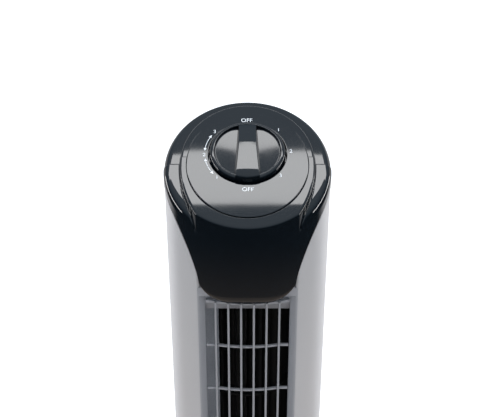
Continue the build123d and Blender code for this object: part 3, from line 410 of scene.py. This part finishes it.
# --- Printed legends --------------------------------------------------------------------
# Pad-printed white ink: off at the top and bottom, steady speeds on the right, and
# swinging speeds on the left, joined by curved arrows with a head at both ends.
ink_lift = panel_proud + 0.00002
ink_thick = 0.00006
ink = bpy.data.materials.new("white_ink")
ink.use_nodes = True
ink_nodes, ink_links = ink.node_tree.nodes, ink.node_tree.links
ink_shader = ink_nodes["Principled BSDF"]
ink_shader.inputs["Roughness"].default_value = 0.45
ink_place = ink_nodes.new("ShaderNodeTexCoord")
ink_grain = ink_nodes.new("ShaderNodeTexNoise")
ink_grain.inputs["Scale"].default_value = 2600.0
ink_tone = ink_nodes.new("ShaderNodeValToRGB")
ink_tone.color_ramp.elements[0].position = 0.3
ink_tone.color_ramp.elements[0].color = (0.80, 0.82, 0.84, 1)
ink_tone.color_ramp.elements[1].color = (0.98, 0.98, 0.98, 1)
ink_links.new(ink_place.outputs["Object"], ink_grain.inputs["Vector"])
ink_links.new(ink_grain.outputs["Fac"], ink_tone.inputs["Fac"])
ink_links.new(ink_tone.outputs["Color"], ink_shader.inputs["Base Color"])


def print_word(name, word, x, along, size):
    """Word in the built-in letters, as a thin mesh laid on the sloping panel."""
    letters = bpy.data.curves.new(name, "FONT")
    letters.body = word
    letters.size = size
    letters.align_x, letters.align_y = "CENTER", "CENTER"
    letters.extrude = ink_thick / 2
    holder = bpy.data.objects.new(name, letters)
    bpy.context.collection.objects.link(holder)
    shown = holder.evaluated_get(bpy.context.evaluated_depsgraph_get())
    mesh = bpy.data.meshes.new_from_object(shown)
    bpy.data.objects.remove(holder)
    flat = np.empty(len(mesh.vertices) * 3)
    mesh.vertices.foreach_get("co", flat)
    flat = flat.reshape(-1, 3)
    placed = on_slope(x + flat[:, 0], along + flat[:, 1], ink_lift + flat[:, 2])
    placed = np.stack(placed, axis=-1)
    mesh.vertices.foreach_set("co", placed.reshape(-1))
    mesh.update()
    item = bpy.data.objects.new(name, mesh)
    bpy.context.collection.objects.link(item)
    item.data.materials.append(ink)
    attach(item, "column")
    return item


def dial_place(bearing, radius):
    """Place on the panel at a clockwise bearing from the top of the dial."""
    return radius * np.sin(np.radians(bearing)), knob_offset + radius * np.cos(np.radians(bearing))


digit_size = 0.0050
word_size = 0.0056
print_word("off_top", "OFF", *dial_place(-1.0, 0.0360), word_size)
print_word("off_bottom", "OFF", *dial_place(179.5, 0.0385), word_size)
for mark, bearing in (("1", 46.0), ("2", 87.0), ("3", 131.5)):
    print_word(f"speed_{mark}", mark, *dial_place(bearing, 0.0364), digit_size)
for mark, bearing in (("3", -50.0), ("2", -93.0), ("1", -136.0)):
    print_word(f"swing_{mark}", mark, *dial_place(bearing, 0.0362), digit_size)


arrow_radius = 0.0358
arrow_tip = 0.00002
arrow_shaft = 0.00022
arrow_head = 0.0013
head_turn = 4.6


def curved_arrow(name, first, last):
    """Double-headed arrow: a band along a circle whose half width grows from nothing to the
    head's at each end, then drops to the shaft's. Turns are bearings in degrees."""
    shaft_turn = np.linspace(first + head_turn, last - head_turn, 25)
    first_turn = np.linspace(first, first + head_turn, 5)
    last_turn = np.linspace(last - head_turn, last, 5)
    turn = np.radians(np.concatenate((first_turn, shaft_turn, last_turn)))
    head = np.linspace(arrow_tip, arrow_head, 5)
    width = np.concatenate((head, np.full(25, arrow_shaft), head[::-1]))
    side = np.array((-1.0, 1.0, 1.0, -1.0))[:, None]
    lift = np.array((0.0, 0.0, ink_thick, ink_thick))[:, None]
    reach = arrow_radius + side * width
    x, along = reach * np.sin(turn), knob_offset + reach * np.cos(turn)
    item = grid_mesh(name, *on_slope(x, along, ink_lift + lift + 0 * x), closed_rows=True)
    close_shell(item)
    item.data.materials.append(ink)
    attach(item, "column")
    return item


curved_arrow("swing_arrow_upper", -86.0, -57.0)
curved_arrow("swing_arrow_lower", -128.5, -99.5)

# --- Knob -------------------------------------------------------------------------------
# One glossy moulding pressed on the switch's spindle: a skirted disc, dished on both sides
# of a grip bar that is narrow at its pointer end and flares towards the other.
knob_skirt = 0.0318
knob_base = -0.0065
knob_rim = 0.0050
dish_radius = 0.0276
edge_round = 0.0032
spindle_fit = 0.0032
grip_rise = 0.0026
knob_turn = np.linspace(0, 2 * np.pi, 241)[:-1]


def dish_height(x, along):
    """Floor of the dish: a plane on each side of the bar that falls towards it and leans a
    little forward, with a quarter-round hollow up to the rim."""
    reach = np.clip(np.hypot(x, along) / dish_radius, 0, 1)
    hollow = np.clip((reach - 0.965) / 0.035, 0, 1)
    fall = 0.0012 + 0.0042 * (1 - np.abs(x) / dish_radius) - 0.0440 * along
    return knob_rim - 0.0003 - fall * np.sqrt(1 - hollow**2)


disc_rows = []
hollow_shares = 0.965 + 0.035 * np.sin(np.linspace(0, np.pi / 2, 12))
for share in np.concatenate((np.linspace(0.02, 0.955, 16), hollow_shares)):
    reach = dish_radius * share
    x, along = reach * np.sin(knob_turn), -reach * np.cos(knob_turn)
    disc_rows.append((x, along, dish_height(x, along)))
rim_steps = [(dish_radius + 0.0001, knob_rim - 0.0003), (dish_radius + 0.0003, knob_rim - 0.00008)]
rim_steps.append((dish_radius + 0.0006, knob_rim))
for bend in np.linspace(0, np.pi / 2, 12):
    radius = knob_skirt - edge_round * (1 - np.sin(bend))
    rim_steps.append((radius, knob_rim - edge_round * (1 - np.cos(bend))))
rim_steps += [(knob_skirt, -0.002), (knob_skirt, knob_base + 0.0004)]
rim_steps += [(knob_skirt - 0.0004, knob_base), (0.0100, knob_base)]
rim_steps += [(spindle_fit, knob_base), (spindle_fit, knob_base + 0.0020)]
for radius, lift in rim_steps:
    x, along = radius * np.sin(knob_turn), -radius * np.cos(knob_turn)
    disc_rows.append((x, along, lift + 0 * knob_turn))
knob_x = np.array([row[0] for row in disc_rows])
knob_along = np.array([row[1] for row in disc_rows]) + knob_offset
knob_lift = np.array([row[2] for row in disc_rows])
knob_points = on_slope(knob_x, knob_along, knob_lift)
knob_disc = grid_mesh("knob_disc", *knob_points, closed_columns=True)
close_shell(knob_disc)


def grip_shell(name):
    """Grip bar with upright sides and small edge rounds. Its top is the running sum of a
    lean read from a table: a roll over the front, nearly level in the middle, a crease and
    a ramp down to the pointer end. Its half width is a quadratic curve kept inside the
    skirt's circle, and its ends stay under the skirt's own rounding."""
    reach = knob_skirt - 0.0006
    crease = 0.24
    stretches = (np.linspace(-1, -0.6, 22), np.linspace(-0.6, crease, 24)[1:])
    share = np.concatenate((*stretches, np.linspace(crease, 1, 16)[1:]))
    along = reach * share
    t = (share + 1) / 2
    half = 0.0104 * (1 - t) ** 2 + 2 * 0.0070 * t * (1 - t) + 0.0074 * t**2
    half = np.minimum(half, np.sqrt((knob_skirt - 0.0002) ** 2 - along**2))
    middle = (share[1:] + share[:-1]) / 2
    turns = (-1.0, -0.97, -0.93, -0.86, -0.78, -0.70, crease - 0.001, crease + 0.001, 0.7, 1.0)
    leans = (70.0, 50.0, 26.0, 10.0, 3.0, 0.86, 0.24, -5.0, -8.0, -22.0)
    climb = np.tan(np.radians(np.interp(middle, turns, leans))) * np.diff(along)
    crown = np.concatenate(((0.0,), np.cumsum(climb)))
    crown += knob_rim + grip_rise - np.max(crown)
    edge = 0.0005
    bends = np.linspace(0, np.pi / 2, 5)
    rise = [(half, 0 * along - 0.0045), (half, crown - edge - 0.0004)]
    rise += [(half - edge * (1 - np.cos(b)), crown - edge * (1 - np.sin(b))) for b in bends]
    rise += [((half - edge) * k, crown + 0.00018 * (1 - k**2)) for k in (0.97, 0.75, 0.4)]
    rows = [(-x, lift) for x, lift in rise] + [(0 * along, crown + 0.00018)] + rise[::-1]
    x = np.array([row[0] for row in rows])
    lift = np.array([row[1] for row in rows])
    outward = np.clip((np.hypot(x, along) - knob_skirt + edge_round) / edge_round, 0, 0.995)
    rim_drop = edge_round * (1 - np.sqrt(1 - outward**2))
    roof = knob_rim + grip_rise * (1 - outward) - rim_drop + 0.00003
    lift = np.where(outward > 0, np.minimum(lift, roof), lift)
    return grid_mesh(name, *on_slope(x, along + knob_offset + 0 * x, lift), closed_rows=True)


knob_grip = close_shell(grip_shell("knob_grip"), angle=50.0)
knob_black = gloss_plastic("knob_black", (0.0024, 0.0040, 0.0058), 0.04, 0.02)
for piece in (knob_disc, knob_grip):
    piece.data.materials.append(knob_black)
    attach(piece, "knob")
    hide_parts("knob")

# --- Silver housings --------------------------------------------------------------------
# Two half shells in plastic, painted a fine metallic silver. The front one is cut out for
# the air outlet and its long edges roll in towards the grille; the rear one for the inlet.
housing_radius = 0.0700
housing_wall = 0.0024
housing_bottom = 0.0640
window_half = 0.0427
window_bottom = 0.1470
roll = 0.0022


def metallic_paint(name, colour, roughness, flake=0.05):
    """Satin silver paint: fine flakes shift its tone and its gloss from point to point, with
    the faint unevenness of sprayed paint."""
    made = bpy.data.materials.new(name)
    made.use_nodes = True
    nodes, links = made.node_tree.nodes, made.node_tree.links
    shader = nodes["Principled BSDF"]
    shader.inputs["Metallic"].default_value = 0.35
    shader.inputs["Coat Weight"].default_value = 0.05
    shader.inputs["Coat Roughness"].default_value = 0.25
    place = nodes.new("ShaderNodeTexCoord")
    flakes = nodes.new("ShaderNodeTexVoronoi")
    flakes.inputs["Scale"].default_value = 5200.0
    tone = nodes.new("ShaderNodeMapRange")
    tone.inputs["To Min"].default_value = 1 - flake
    tone.inputs["To Max"].default_value = 1 + flake
    mix = nodes.new("ShaderNodeMix")
    mix.data_type = "RGBA"
    mix.blend_type = "MULTIPLY"
    mix.inputs["Factor"].default_value = 1.0
    mix.inputs["A"].default_value = (*colour, 1)
    links.new(place.outputs["Object"], flakes.inputs["Vector"])
    links.new(flakes.outputs["Distance"], tone.inputs["Value"])
    links.new(tone.outputs["Result"], mix.inputs["B"])
    links.new(mix.outputs["Result"], shader.inputs["Base Color"])
    spray = nodes.new("ShaderNodeTexNoise")
    spray.inputs["Scale"].default_value = 620.0
    spray.inputs["Detail"].default_value = 3.0
    gloss = nodes.new("ShaderNodeMapRange")
    gloss.inputs["To Min"].default_value = roughness - 0.04
    gloss.inputs["To Max"].default_value = roughness + 0.05
    skin = nodes.new("ShaderNodeBump")
    skin.inputs["Strength"].default_value = 0.06
    skin.inputs["Distance"].default_value = 0.0002
    links.new(place.outputs["Object"], spray.inputs["Vector"])
    links.new(spray.outputs["Fac"], gloss.inputs["Value"])
    links.new(gloss.outputs["Result"], shader.inputs["Roughness"])
    links.new(spray.outputs["Fac"], skin.inputs["Height"])
    links.new(skin.outputs["Normal"], shader.inputs["Normal"])
    return made


def side_strip(side):
    """Closed strip from the seam to the window: an arc of the column whose edge rolls in
    over a quarter circle. Its top follows the cover's lower edge, a parting gap lower."""
    edge_turn = np.arcsin((window_half + roll * 0.4) / housing_radius)
    turn = np.linspace(np.pi / 2, edge_turn, 60)
    bends = np.linspace(0, np.pi / 2, 8)[1:]
    rolled = housing_radius - roll * (1 - np.cos(bends))
    radius = np.concatenate((np.full(60, housing_radius), rolled))
    turn = np.concatenate((turn, edge_turn - roll * np.sin(bends) / housing_radius))
    inner_radius = np.full(20, housing_radius - housing_wall)
    inner_turn = np.linspace(turn[-1], np.pi / 2, 20)
    radius, turn = np.concatenate((radius, inner_radius)), np.concatenate((turn, inner_turn))
    top = lower_edge(turn, np.full_like(turn, cover_radius)) - 0.0003
    share = np.concatenate((np.linspace(0, 0.8, 12), np.linspace(0.8, 1, 10)[1:]))[:, None]
    z = window_bottom + (top - window_bottom) * share
    x, y = side * radius * np.sin(turn) + 0 * z, -radius * np.cos(turn) + 0 * z
    return x, y, z


def lower_band():
    """Closed band below the window, from seam to seam: a profile of the wall, whose upper
    edge is a quarter circle, turned round the column's axis."""
    turn = np.linspace(-np.pi / 2, np.pi / 2, 181)
    soft = 0.0008
    bends = np.linspace(0, np.pi / 2, 5)[1:]
    inside = housing_radius - housing_wall
    upright = np.linspace(housing_bottom, window_bottom - soft, 6)
    rounded = housing_radius - soft * (1 - np.cos(bends))
    radius = np.concatenate((np.full(6, housing_radius), rounded, (inside, inside)))[:, None]
    height = (upright, window_bottom - soft * (1 - np.sin(bends)), (window_bottom, housing_bottom))
    z = np.concatenate(height)[:, None] + 0 * turn
    return radius * np.sin(turn), -radius * np.cos(turn), z


silver = metallic_paint("silver_paint", (0.50, 0.485, 0.485), 0.36)
strips = [grid_mesh("front_strip_left", *side_strip(-1.0), closed_columns=True)]
strips.append(grid_mesh("front_strip_right", *side_strip(1.0), closed_columns=True))
strips.append(grid_mesh("front_lower_band", *lower_band(), closed_rows=True))
for piece in strips:
    close_shell(piece)
    piece.data.materials.append(silver)
    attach(piece, "column")
    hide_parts("front_housing")

# --- Outlet grille ------------------------------------------------------------------------
# One moulding in silver-grey plastic: upright slats bowed forward in plan, slim ribs set
# back between them, and a low rail at each end that snaps behind the frame.
slat_half = 0.0009
slat_pitch = 0.0109
grille_front_y = -0.0595
grille_back_y = -0.0513
grille_arc = 0.130
grille_half = 0.0356
outlet_bottom = 0.1535
outlet_top = 0.6125
rib_pitch = 0.0510
rib_half = 0.0009
rail_height = 0.0026


def bow(x):
    """Front line of the grille in plan: an arc of a circle round a point on the Y axis."""
    return grille_front_y + grille_arc - np.sqrt(grille_arc**2 - np.asarray(x) ** 2)


def slat(name, x):
    """Upright bar with rounded front corners: its outline in plan carried from end to end."""
    soft = 0.0005
    bends = np.linspace(0, np.pi / 2, 5)
    side = np.concatenate(((slat_half,), slat_half - soft * (1 - np.cos(bends))))
    front = float(bow(x)) + soft * (1 - np.sin(bends))
    deep = np.concatenate(((grille_back_y,), front))
    outline_x = x + np.concatenate((side, -side[::-1]))
    outline_y = np.concatenate((deep, deep[::-1]))
    z = np.linspace(outlet_bottom + 0.0004, outlet_top - 0.0004, 19)[:, None]
    x, y, z = outline_x + 0 * z, outline_y + 0 * z, z + 0 * outline_x
    return grid_mesh(name, x, y, z, closed_columns=True)


def bowed_bar(name, z, half, back_set, depth):
    """Level bar that follows the bow: a small rounded rectangle carried from side to side."""
    x = np.linspace(-grille_half, grille_half, 49)
    lift = np.array((-half, -half + 0.0002, 0.0, half - 0.0002, half, half, 0.0, -half))
    step = np.array((0.0003, 0.0, 0.0, 0.0, 0.0003, depth, depth, depth))
    front = np.minimum(bow(x) + back_set, grille_back_y - depth)
    y = front + step[:, None]
    return grid_mesh(name, x + 0 * y, y, z + lift[:, None] + 0 * x, closed_rows=True)


outlet_grey = metallic_paint("outlet_grey_paint", (0.36, 0.355, 0.37), 0.42)
grille_parts = [slat(f"outlet_slat_{k + 1}", (k - 2.5) * slat_pitch) for k in range(6)]
for k in range(1, 9):
    rib_z = outlet_bottom + k * rib_pitch
    grille_parts.append(bowed_bar(f"outlet_rib_{k}", rib_z, rib_half, 0.0030, 0.0022))
rail_half = rail_height / 2
rail_ends = {"top": outlet_top - rail_half, "bottom": outlet_bottom + rail_half}
for end, rail_z in rail_ends.items():
    grille_parts.append(bowed_bar(f"outlet_rail_{end}", rail_z, rail_half, 0.0016, 0.0024))
for piece in grille_parts:
    close_shell(piece)
    piece.data.materials.append(outlet_grey)
    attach(piece, "column")
    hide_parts("outlet_grille")

# --- Finishes of the parts that keep their CAD shape --------------------------------------
# Each is one material family: satin mouldings, rubber, sintered bronze, plated screws, bare
# laminations, enamelled copper, powder-coated steel and the wiring's braided sleeve.
def set_finish(material, *nodes):
    """Gives the material to the CAD parts named."""
    for node in nodes:
        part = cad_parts[node]
        for place in part.material_slots:
            place.material = material


def grained(name, colour, roughness, scale, depth, spread=0.12, metallic=0.0):
    """Material with a fine grain: noise shifts its tone and gloss and raises its surface."""
    made = bpy.data.materials.new(name)
    made.use_nodes = True
    nodes, links = made.node_tree.nodes, made.node_tree.links
    shader = nodes["Principled BSDF"]
    shader.inputs["Metallic"].default_value = metallic
    place = nodes.new("ShaderNodeTexCoord")
    grain = nodes.new("ShaderNodeTexNoise")
    grain.inputs["Scale"].default_value = scale
    grain.inputs["Detail"].default_value = 4.0
    tone = nodes.new("ShaderNodeValToRGB")
    tone.color_ramp.elements[0].position = 0.3
    tone.color_ramp.elements[1].position = 0.7
    tone.color_ramp.elements[0].color = (*[c * (1 - spread) for c in colour], 1)
    tone.color_ramp.elements[1].color = (*[min(c * (1 + spread), 1) for c in colour], 1)
    gloss = nodes.new("ShaderNodeMapRange")
    gloss.inputs["To Min"].default_value = max(roughness - 0.06, 0.02)
    gloss.inputs["To Max"].default_value = min(roughness + 0.06, 1.0)
    relief = nodes.new("ShaderNodeBump")
    relief.inputs["Strength"].default_value = 0.25
    relief.inputs["Distance"].default_value = depth
    links.new(place.outputs["Object"], grain.inputs["Vector"])
    links.new(grain.outputs["Fac"], tone.inputs["Fac"])
    links.new(tone.outputs["Color"], shader.inputs["Base Color"])
    links.new(grain.outputs["Fac"], gloss.inputs["Value"])
    links.new(gloss.outputs["Result"], shader.inputs["Roughness"])
    links.new(grain.outputs["Fac"], relief.inputs["Height"])
    links.new(relief.outputs["Normal"], shader.inputs["Normal"])
    return made


set_finish(silver, "rear_housing")
set_finish(outlet_grey, "outlet_frame")
inner_black = grained("inner_black", (0.002, 0.002, 0.002), 0.7, 900.0, 0.00005)
set_finish(inner_black, "inlet_grille", "impeller")
duct_grey = grained("duct_grey", (0.38, 0.38, 0.40), 0.55, 700.0, 0.00005)
set_finish(duct_grey, "scroll_wall", "vortex_wall")
plate_black = grained("plate_black", (0.008, 0.008, 0.009), 0.6, 700.0, 0.00005)
set_finish(plate_black, "lower_plate", "upper_plate", "column_floor", "motor_capacitor")
base_black = gloss_plastic("base_black", (0.0024, 0.0040, 0.0058), 0.06)
set_finish(base_black, "base_front", "base_rear", "swivel_deck")
soft_rubber = grained("soft_rubber", (0.012, 0.012, 0.012), 0.82, 1500.0, 0.00008)
set_finish(soft_rubber, "bearing_boot", "motor_dampers", "rubber_feet", "cord_bush")
bronze = grained("sintered_bronze", (0.42, 0.27, 0.12), 0.45, 3200.0, 0.00003, metallic=1.0)
set_finish(bronze, "upper_bearing", "motor_bearings")
plated = grained("zinc_plating", (0.55, 0.55, 0.50), 0.32, 1800.0, 0.00001, metallic=1.0)
set_finish(plated, "switch_nut", "impeller_stub", "motor_shaft", "motor_screws", "housing_screws")
set_finish(plated, "retainer_screws", "deck_screws", "base_screws")
lamination = grained("motor_lamination", (0.34, 0.34, 0.36), 0.5, 1200.0, 0.00002, metallic=1.0)
set_finish(lamination, "motor_stator", "motor_rotor")
copper = grained("enamelled_copper", (0.55, 0.20, 0.07), 0.35, 1400.0, 0.0002, metallic=0.9)
set_finish(copper, "motor_windings")
motor_shell = grained("motor_shell_plating", (0.50, 0.50, 0.50), 0.4, 800.0, 0.00001, metallic=1.0)
set_finish(motor_shell, "motor_top_cover", "motor_bottom_cover", "osc_motor")
acetal = grained("white_acetal", (0.72, 0.72, 0.69), 0.45, 600.0, 0.00003, spread=0.04)
set_finish(acetal, "swivel_gear", "osc_pinion", "swivel_retainer", "swivel_washer")
switch_black = grained("switch_black", (0.02, 0.02, 0.022), 0.5, 900.0, 0.00004)
set_finish(switch_black, "rotary_switch", "switch_spindle")
brass = grained("contact_brass", (0.72, 0.52, 0.22), 0.3, 1500.0, 0.00001, metallic=1.0)
set_finish(brass, "switch_terminals")
powder = grained("powder_coat", (0.02, 0.02, 0.022), 0.6, 1100.0, 0.0001)
set_finish(powder, "base_plate", "base_weight")
sleeve = grained("braided_sleeve", (0.02, 0.02, 0.022), 0.75, 2400.0, 0.0002)
set_finish(sleeve, "wiring_harness", "base_wiring")
